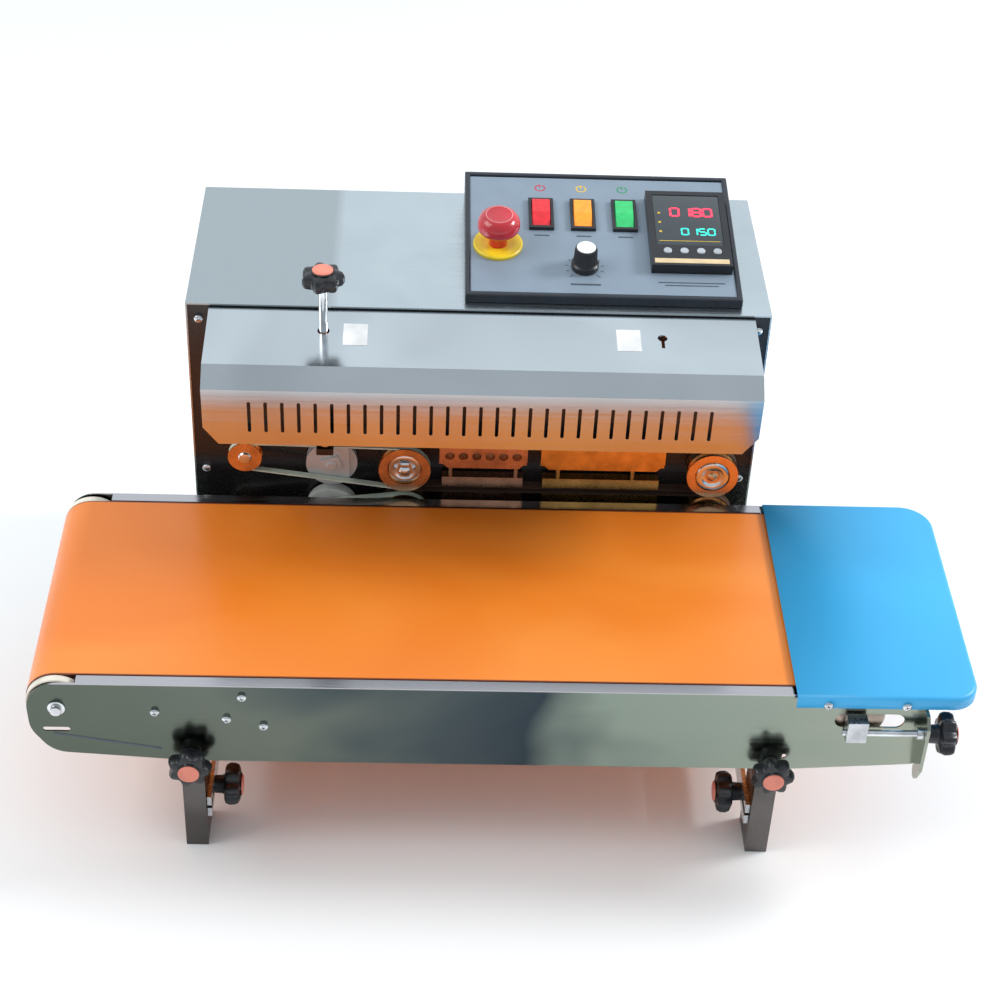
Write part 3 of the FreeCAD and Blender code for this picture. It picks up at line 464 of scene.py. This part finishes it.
def star_knob(name, body, node, axis, stud_back_mm=0.0):
    """A fluted black grip with a salmon cap and its bright stud, in a CAD knob's place."""
    axis = axis.normalized()
    lo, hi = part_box(node)
    centre = joint_point(KNOB_JOINTS[node])
    tip = max(lo.dot(axis), hi.dot(axis))
    face = centre + axis * (tip - centre.dot(axis))
    place = basis(face, axis)

    def lobed(angle, radius, height):
        if radius < 11:
            return radius
        return radius * (0.885 + 0.115 * math.cos(KNOB_LOBES * angle)) if radius < 21 else radius

    bm = bmesh.new()
    grip = [(8.2, -26), (8.6, -19), (9.5, -17.2), (15.5, -16.6), (18.4, -15.2), (19.9, -12), (19.6, -7),
            (18.0, -3.8), (14.5, -2.6), (11.2, -2.3), (10.6, -1.4), (9.6, -1.2)]
    neck_end = -(hi - lo).dot(Vector([abs(a) for a in axis])) / MM + stud_back_mm
    grip[0] = (8.2, max(neck_end, -26))
    lathe(bm, grip, place, 84, lobed)
    obj = finish_mesh(name, bm, MATERIALS["black_plastic"], body, 30)
    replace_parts(obj, node)
    bm = bmesh.new()
    lathe(bm, [(9.3, -1.8), (9.3, -0.5), (8.6, 0.0), (0.5, 0.0)], place, 48)
    finish_mesh(name + "_cap", bm, SALMON, body)
    if stud_back_mm:
        bm = bmesh.new()
        lathe(bm, [(3.0, neck_end - stud_back_mm), (3.0, neck_end + 1)], place, 24)
        finish_mesh(name + "_stud", bm, MATERIALS["chrome"], body)


def all_knobs():
    star_knob("left_height_grip", "left_height_clamp", "left_height_knob", -Y, HEIGHT_STUD_MM)
    star_knob("right_height_grip", "right_height_clamp", "right_height_knob", -Y, HEIGHT_STUD_MM)
    star_knob("left_reach_grip", "left_reach_clamp", "left_reach_knob", X, REACH_STUD_MM)
    star_knob("right_reach_grip", "right_reach_clamp", "right_reach_knob", -X, REACH_STUD_MM)
    star_knob("tension_grip", "tension_adjuster", "tension_knob", X)
    star_knob("pressure_grip", "pressure_adjuster", "pressure_knob", Z)


# --- control panel ------------------------------------------------------------------------------
FACE_MM = -1.5                # the printed face lies this far below the panel's rim
PRINT_MM = 0.12               # thickness of the prints
CASE_FRONT_MM = 9.0           # the controller's front stands this far out of the panel
CASE_LOW_MM = -21.0           # its lower edge, from the keys' line
WINDOW_MM = (9.0, 85.0)       # its display window, from the keys' line
MARK_UP_MM, LEGEND_DOWN_MM = 43, 30     # from a rocker's middle to its ring mark and its line


def panel_place(point, lift_mm=0.0):
    """Axes on the panel: +X right, +Y up the slope, +Z out of the face."""
    return basis(point + PANEL_NORMAL * lift_mm * MM, PANEL_NORMAL, PANEL_UP)


def panel_point(node):
    """The point of the panel's face under a CAD node's middle."""
    point = middle(node)
    face = joint_point("speed_knob_turn")
    return point - PANEL_NORMAL * (point - face).dot(PANEL_NORMAL)


def emergency_stop():
    place = panel_place(panel_point("emergency_stop_collar"))
    bm = bmesh.new()
    lathe(bm, [(11, FACE_MM), (23.1, FACE_MM), (23.5, -0.6), (23.3, 1.4), (22.2, 2.3), (15.5, 2.5),
               (14.5, 2.0), (12.2, 1.8), (11, 1.2)], place, 96)
    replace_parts(finish_mesh("stop_collar", bm, MATERIALS["estop_yellow"], "main_frame"),
                "emergency_stop_collar")
    bm = bmesh.new()
    lathe(bm, [(8.6, -5.5), (8.8, 12), (10.2, 14), (11.2, 17.4), (17.0, 17.9), (19.3, 18.9), (20, 21.2),
               (19.9, 25.0), (19.1, 28.8), (17.2, 32.2), (14.6, 34.3), (12.4, 35.2), (11.4, 35.0),
               (9.5, 34.7), (5.0, 34.6), (1.0, 34.6)], place, 96)
    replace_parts(finish_mesh("stop_mushroom", bm, MATERIALS["estop_red"], "emergency_stop", 50),
                "emergency_stop_button")
    # Painted highlight: a pale red ring on the mushroom's top.
    bm = bmesh.new()
    lathe(bm, [(12.6, 34.9), (12.9, 35.15), (11.9, 35.3), (11.6, 34.8)], place, 72, closed=True)
    finish_mesh("stop_highlight_ring", bm, RING_HIGHLIGHT, "emergency_stop")


def speed_dial():
    place = panel_place(joint_point("speed_knob_turn"))

    def knurl(angle, radius, height):
        return radius + (0.25 * math.cos(36 * angle) if 9.5 < radius < 12.7 and 6 < height < 21 else 0)

    bm = bmesh.new()
    lathe(bm, [(12.6, -1.0), (13.0, 0.2), (12.9, 4.6), (11.6, 5.8), (11.0, 6.6), (10.3, 20.4), (9.8, 22.0),
               (8.8, 22.6), (8.3, 22.6)], place, 144, knurl)
    obj = finish_mesh("speed_grip", bm, MATERIALS["black_plastic"], "speed_dial")
    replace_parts(obj, "speed_knob")
    bm = bmesh.new()
    lathe(bm, [(8.9, 21.9), (8.9, 22.7), (8.4, 23.0), (0.5, 23.0)], place, 48)
    finish_mesh("speed_cap", bm, WHITE, "speed_dial")
    bm = bmesh.new()
    slab(bm, place, -0.5, 0.5, 9.0, 12.7, 4.6, 6.2)
    finish_mesh("speed_pointer", bm, WHITE, "speed_dial")
    bm = bmesh.new()
    for k in range(11):
        tick = place @ Matrix.Rotation(math.radians(135 - 27 * k), 4, "Z")
        slab(bm, tick, -0.45, 0.45, 15.5, 18.5 if k % 5 else 20.0, FACE_MM, FACE_MM + PRINT_MM)
    slab(bm, place, -14, 14, -26, -23.5, FACE_MM, FACE_MM + PRINT_MM)
    finish_mesh("speed_scale", bm, DARK_PRINT_AND_SHADE, "main_frame")


SEGMENTS = {
    "top": (-1.6, 1.6, 6.2, 7.2), "mid": (-1.6, 1.6, 3.1, 4.1), "low": (-1.6, 1.6, 0, 1),
    "ul": (-2.6, -1.6, 3.9, 6.6), "ur": (1.6, 2.6, 3.9, 6.6), "ll": (-2.6, -1.6, 0.6, 3.3),
    "lr": (1.6, 2.6, 0.6, 3.3),
}
DIGITS = {
    "0": ("top", "low", "ul", "ur", "ll", "lr"), "1": ("ur", "lr"),
    "5": ("top", "mid", "low", "ul", "lr"), "8": tuple(SEGMENTS),
}


def digits(name, place, text, pitch, scale, material):
    bm = bmesh.new()
    for i, mark in enumerate(text):
        shift = (i - (len(text) - 1) / 2) * pitch
        for segment in DIGITS[mark]:
            x0, x1, y0, y1 = (v * scale for v in SEGMENTS[segment])
            slab(bm, place, shift + x0, shift + x1, y0, y1, 0, 0.25)
    finish_mesh(name, bm, material, "main_frame")


def controller():
    """Display window, digits, status marks, a beige strip of painted reflection on the lower lip, and keys; v is
    measured from the keys' line.
    """
    keys = [f"controller_key_{i}" for i in (1, 2, 3, 4)]
    lo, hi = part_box("temperature_controller")
    half_u = (hi.x - lo.x) / 2 / MM
    line = Vector(((lo.x + hi.x) / 2, *panel_point(keys[0]).yz))
    place = panel_place(line)
    window = CASE_FRONT_MM - 1.4, CASE_FRONT_MM - 0.5
    bm = bmesh.new()
    slab(bm, place, -half_u + 6.3, half_u - 6.3, WINDOW_MM[0] + 0.3, WINDOW_MM[1] - 0.3, *window, 0.3)
    finish_mesh("display_window", bm, GLASS_BLACK, "main_frame")

    def on_window(u, v):
        return panel_place(line + (X * u + PANEL_UP * v) * MM, window[1] + 0.02)

    digits("measured_digits", on_window(4, 52), "0180", 10.5, 1.9, RED_LED)
    digits("target_digits", on_window(9, 24), "0150", 8.4, 1.5, GREEN_LED)
    bm = bmesh.new()
    for k in range(3):
        slab(bm, place, -half_u + 10, -half_u + 12.4, 28 + 14 * k, 30.4 + 14 * k, window[1], window[1] + 0.2)
    slab(bm, place, -half_u + 9, half_u - 9, 15.0, 15.7, window[1], window[1] + 0.1)
    finish_mesh("status_marks", bm, AMBER_PRINT, "main_frame")
    # Painted reflection: a beige strip along the case's lower lip.
    bm = bmesh.new()
    slab(bm, place, -half_u + 3, half_u - 3, CASE_LOW_MM + 3.0, CASE_LOW_MM + 9.5, CASE_FRONT_MM - 0.2,
         CASE_FRONT_MM + 0.25, 0.1)
    finish_mesh("controller_lip_reflection", bm, LIP_REFLECTION, "main_frame")
    bm = bmesh.new()
    for inset, v in ((6, -14), (12, -18)):
        slab(bm, place, -half_u + inset, half_u - inset - 2, CASE_LOW_MM + v, CASE_LOW_MM + v + 1.6,
             FACE_MM, FACE_MM + PRINT_MM)
    finish_mesh("controller_legend", bm, DARK_PRINT_AND_SHADE, "main_frame")
    for i, key in enumerate(keys, 1):
        bm = bmesh.new()
        lathe(bm, [(4.0, 7.0), (4.0, 9.6), (3.5, 10.15), (2.4, 10.2), (0.4, 10.0)],
              panel_place(panel_point(key)), 40)
        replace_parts(finish_mesh(f"key_cap_{i}", bm, MATERIALS["key_grey"], f"key_{i}"), key)


def panel_prints():
    for node, material in (("power_switch", RED_PRINT), ("heater_switch", AMBER_PRINT),
                           ("fan_switch", GREEN_PRINT)):
        place = panel_place(panel_point(node) + PANEL_UP * MARK_UP_MM * MM)
        bm = bmesh.new()
        for k in range(20):
            if 4 <= k <= 5:
                continue
            slab(bm, place @ Matrix.Rotation(math.radians(18 * k), 4, "Z"), 3.9, 5.1, -0.75, 0.75,
                 FACE_MM, FACE_MM + PRINT_MM)
        slab(bm, place, -0.6, 0.6, 0.5, 5.4, FACE_MM, FACE_MM + PRINT_MM)
        finish_mesh(node + "_mark", bm, material, "main_frame")
        bm = bmesh.new()
        below = panel_place(panel_point(node) - PANEL_UP * LEGEND_DOWN_MM * MM)
        slab(bm, below, -7, 7, -1, 1, FACE_MM, FACE_MM + 0.1)
        finish_mesh(node + "_legend", bm, DARK_PRINT_AND_SHADE, "main_frame")


# --- infeed tray ----------------------------------------------------------------------------------
def infeed_tray():
    lo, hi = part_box("infeed_tray")
    left, right, front, back = lo.x, hi.x, lo.y, hi.y
    skirt, fold = hi.z - lo.z, 4 * MM
    bm = bmesh.new()
    rings = [(0.0, lo.z), (0.0, lo.z + skirt * 0.4)]
    rings += [(fold * (1 - math.cos(a)), hi.z - fold * (1 - math.sin(a)))
              for a in (math.radians(15 * k) for k in range(7))]
    loops = []
    for inset, z in rings:
        points = [Vector((left, front + inset, z))]
        for cx, cy, radius, start in ((right, front, 24 * MM, -90), (right, back, 30 * MM, 0)):
            r = radius - inset
            centre = Vector((cx - radius, cy + radius if start < 0 else cy - radius, z))
            for k in range(13):
                a = math.radians(start + 90 * k / 12)
                points.append(centre + Vector((r * math.cos(a), r * math.sin(a), 0)))
        points.append(Vector((left, back - inset, z)))
        loops.append([bm.verts.new(p) for p in points])
    for a, b in zip(loops, loops[1:]):
        for i in range(len(a) - 1):
            bm.faces.new((a[i], a[i + 1], b[i + 1], b[i]))
    bm.faces.new(loops[-1])
    obj = finish_mesh("tray_sheet", bm, MATERIALS["blue_sheet"], "conveyor", 60)
    thick = obj.modifiers.new("sheet", "SOLIDIFY")
    thick.thickness = 1.4 * MM
    thick.offset = -1
    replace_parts(obj, "infeed_tray")


# --- screws, labels and small trim --------------------------------------------------------------------
HEAD_RADIUS_MM = 3.9
HEAD_DEPTH_MM = 3.2      # a loose part deeper than this is a nut or a stud, not a head


def screw_heads(name, body, spots):
    """Domed tops on the screws' flat heads, facing the operator, with dark crosses painted as the shade in their
    cross recesses.
    """
    radius = HEAD_RADIUS_MM
    bm = bmesh.new()
    for spot in spots:
        lathe(bm, [(radius, -0.3), (radius, 0.15), (radius * 0.86, 0.8), (radius * 0.6, 1.25),
                   (radius * 0.3, 1.4)], basis(spot, -Y), 32)
    finish_mesh(name, bm, MATERIALS["chrome"], body)
    # Painted shade: dark crosses stand in for the shade in the heads' cross recesses.
    bm = bmesh.new()
    for spot in spots:
        place = basis(spot, -Y)
        for turn in (20, 110):
            cross = place @ Matrix.Rotation(math.radians(turn), 4, "Z")
            slab(bm, cross, -radius * 0.5, radius * 0.5, -0.4, 0.4, 1.1, 1.46)
    finish_mesh(name + "_cross", bm, DARK_PRINT_AND_SHADE, body)


def screw_places(node):
    """Front centres of the round heads in a CAD node of screws, found from its loose parts."""
    mesh = frame["nodes"][node].data
    bm = bmesh.new()
    bm.from_mesh(mesh)
    bmesh.ops.remove_doubles(bm, verts=bm.verts, dist=0.00001)
    seen, spots = set(), []
    for start in bm.verts:
        if start in seen:
            continue
        stack, part = [start], []
        seen.add(start)
        while stack:
            v = stack.pop()
            part.append(v.co.copy())
            for e in v.link_edges:
                other = e.other_vert(v)
                if other not in seen:
                    seen.add(other)
                    stack.append(other)
        lo = Vector([min(c[i] for c in part) for i in range(3)])
        hi = Vector([max(c[i] for c in part) for i in range(3)])
        if (hi.y - lo.y) < HEAD_DEPTH_MM * MM:
            spots.append(Vector(((lo.x + hi.x) / 2, lo.y, (lo.z + hi.z) / 2)))
    bm.free()
    return sorted(spots, key=lambda s: (round(s.x, 5), round(s.z, 5)))


GUARD_RUN, GUARD_RISE = 80.5, 8.5     # mm, the sloping top's depth and height
STICKER_BACK_MM = 36                  # from the top's rear edge to the stickers' middles


def labels():
    """Two blank white stickers on the guard's sloping top."""
    hi = high("slotted_guard")
    slope = Vector((0, GUARD_RUN, GUARD_RISE)).normalized()
    back = STICKER_BACK_MM * MM
    stem = joint_point("pressure_knob_turn")
    for name, x in (("left", stem.x + 29 * MM), ("right", hi.x - 119 * MM)):
        point = Vector((x, hi.y - back, hi.z - back * GUARD_RISE / GUARD_RUN))
        place = basis(point, X.cross(slope), slope)
        bm = bmesh.new()
        slab(bm, place, -11, 11, -15, 15, 0.0, 0.25)
        finish_mesh(f"{name}_sticker", bm, WHITE, "main_frame")


WASHER_BACK_MM = 3.0     # from a wheel's front rim back to its washer
BELT_EDGE_MM = 12.5      # from the belt's edge to the side plate's outer face


def roller_caps():
    """Cream nylon rings at the ends of the conveyor's rollers."""
    for node, body, joint_name in (("drive_roller", "conveyor_drive_roller", "conveyor_drive_spin"),
                                   ("tension_roller", "conveyor_tension_roller", "conveyor_tension_spin")):
        centre = joint_point(joint_name)
        half = (high("conveyor_belt").y - low("conveyor_belt").y) / 2
        for side, axis in (("front", -Y), ("rear", Y)):
            bm = bmesh.new()
            place = basis(centre + axis * half, axis)
            lathe(bm, [(20, 0.6), (27.0, 0.6), (27.4, 1.2), (27.4, 7.4), (26.6, 8.2), (8, 8.4)], place, 72)
            finish_mesh(f"{node}_{side}_cap", bm, CREAM, body)


def wheel_hubs():
    """Bright domed washers round the nuts in the band wheels' recesses."""
    for wheel, body in (("upper_drive_wheel", "upper_drive"), ("lower_drive_wheel", "lower_drive"),
                        ("upper_idle_wheel", "upper_idle"), ("lower_idle_wheel", "lower_idle")):
        centre = middle(wheel)
        face = Vector((centre.x, low(wheel).y + WASHER_BACK_MM * MM, centre.z))
        bm = bmesh.new()
        lathe(bm, [(16.0, -2.0), (16.2, -0.6), (15.4, 0.6), (13.2, 1.3), (11.4, 1.2), (10.0, 0.4),
                   (8.6, -0.4)], basis(face, -Y), 64)
        finish_mesh(wheel + "_washer", bm, MATERIALS["chrome"], body)


def head_trims():
    """Screws in the guide wheels and a bright boss on the embossing wheel."""
    for side in ("upper", "lower"):
        node = f"{side}_guide_wheel"
        face = Vector((middle(node).x, low(node).y, middle(node).z))
        bm = bmesh.new()
        lathe(bm, [(6.2, -0.4), (6.2, 0.8), (5.2, 2.0), (3.0, 2.5), (0.4, 2.6)], basis(face, -Y), 40)
        finish_mesh(f"{side}_guide_screw", bm, MATERIALS["chrome"], f"{side}_guide")
    centre = joint_point("embossing_wheel_spin")
    place = basis(Vector((centre.x, low("embossing_wheel").y, centre.z)), -Y) @ Matrix.Rotation(0.35, 4, "Z")
    bm = bmesh.new()
    slab(bm, place, -9, 9, -8, 8, -1.0, 2.2, 0.7)
    lathe(bm, [(5.0, 1.6), (5.0, 3.2), (4.2, 3.8), (0.4, 3.9)], place, 32)
    finish_mesh("embossing_boss", bm, DISC, "printing_wheel")


def conveyor_end():
    """Dark strips painted as the shade in the pressed groove and in the flange's notch, and the bright axle hook,
    at the conveyor's left end.
    """
    roller = joint_point("conveyor_drive_spin")
    face_y = low("conveyor_belt").y - BELT_EDGE_MM * MM
    start = Vector((roller.x - 5 * MM, face_y, roller.z - 31 * MM))
    groove = Vector((95, 0, -17)).normalized()
    # Painted shade: a dark strip stands in for the shade in the pressed groove.
    bm = bmesh.new()
    slab(bm, basis(start, -Y, groove.cross(-Y)), -95, 0, -1.1, 1.1, -0.15, 0.25, 0.1)
    finish_mesh("pressed_groove_shade", bm, DARK_PRINT_AND_SHADE, "conveyor")
    bm = bmesh.new()
    hook = basis(Vector((roller.x, face_y, roller.z)), -Y, Z)
    lathe(bm, [(7.6, 0.1), (7.6, 1.6), (6.6, 2.0), (5.2, 2.1), (5.2, 5.6), (4.4, 6.4), (0.5, 6.5)], hook, 40)
    finish_mesh("axle_end", bm, MATERIALS["chrome"], "conveyor")
    bm = bmesh.new()
    # Painted shade: a black block stands in for the shade in the flange's notch.
    notch = Vector((low("slider_bed").x - 10 * MM, face_y, high("slider_bed").z + 0.3 * MM))
    slab(bm, basis(notch, Z, Y), -5, 4, 0.2, 9.5, -2.0, 1.2, 0.4)
    finish_mesh("notch_shade_block", bm, MATERIALS["rubber_black"], "conveyor")


def cad_materials():
    slots = {part["node"]: part["material_slot"] for part in frame["record"]["subparts"]}
    special = {"slotted_guard": GUARD, "heating_blocks": GOLD, "cooling_blocks": COPPER,
               "embossing_wheel": DISC, "control_box": NAVY, "support_legs": LEG,
               "housing_cover": housing_material(), "conveyor_side_plates": conveyor_material()}
    for node, obj in frame["nodes"].items():
        for place in obj.material_slots:
            place.material = special.get(node, MATERIALS[slots[node]])
    for node in ("housing_cover", "slotted_guard", "control_box", "temperature_controller", "switch_bezels",
                 "power_switch", "heater_switch", "fan_switch", "support_legs", "take_up_blocks"):
        soften(node, 0.5 if node != "control_box" else 1.2)


camera_and_light()
cad_materials()
all_knobs()
emergency_stop()
speed_dial()
controller()
panel_prints()
infeed_tray()
screw_heads("plate_screw_heads", "main_frame", screw_places("plate_screws"))
screw_heads("conveyor_screw_heads", "conveyor", screw_places("conveyor_screws"))
labels()
roller_caps()
wheel_hubs()
head_trims()
conveyor_end()
